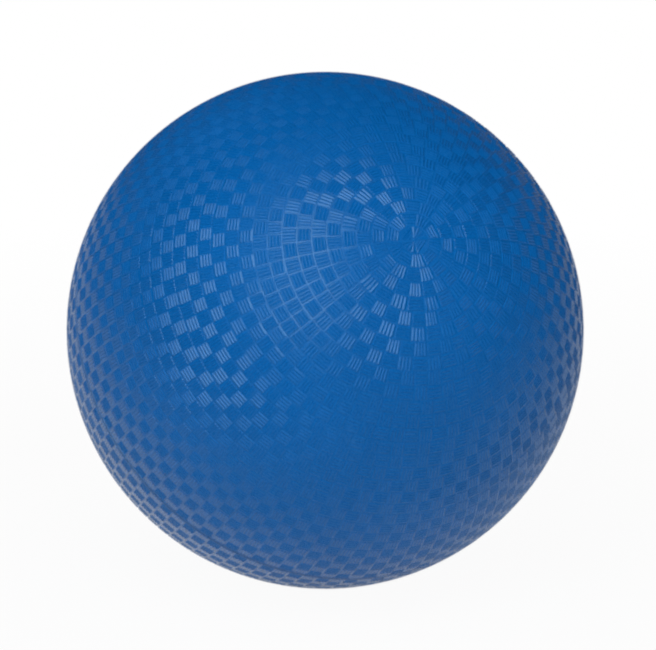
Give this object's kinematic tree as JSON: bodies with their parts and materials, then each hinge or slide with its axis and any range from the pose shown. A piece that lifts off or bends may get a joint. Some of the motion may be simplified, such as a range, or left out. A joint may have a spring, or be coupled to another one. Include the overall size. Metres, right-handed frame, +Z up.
{
  "type": "dodgeball",
  "caption": "Hollow moulded rubber ball with a basket-weave grip texture, a thread-wound carcass, an inner bladder and a needle valve whose core pulls out.",
  "frame": {"origin": "centre of the ball", "axes": "+Z up as the ball lies in the picture; the mould axis lies in the YZ plane, its plain pole to the front (-Y) and 30 degrees up, the valve at the opposite pole, to the back (+Y) and 30 degrees down"},
  "size_m": [0.216, 0.216, 0.216],
  "materials": {
    "cover_rubber": "satin, moulded basket-weave ribs",
    "winding_thread": "wound nylon thread",
    "bladder_rubber": "smooth butyl",
    "patch_rubber": "matt",
    "valve_rubber": "smooth"
  },
  "bodies": {
    "ball": {"cover_front_half": "cover_rubber", "cover_valve_half": "cover_rubber", "thread_winding": "winding_thread", "bladder": "bladder_rubber", "valve_patch": "patch_rubber", "valve_seat": "valve_rubber"},
    "core": {"valve_core": "valve_rubber"}
  },
  "joints": [
    {"name": "valve_core_pull", "type": "slide", "parent": "ball", "child": "core", "axis": [0, 0.866, -0.5], "range_m": [0, 0.022]}
  ]
}
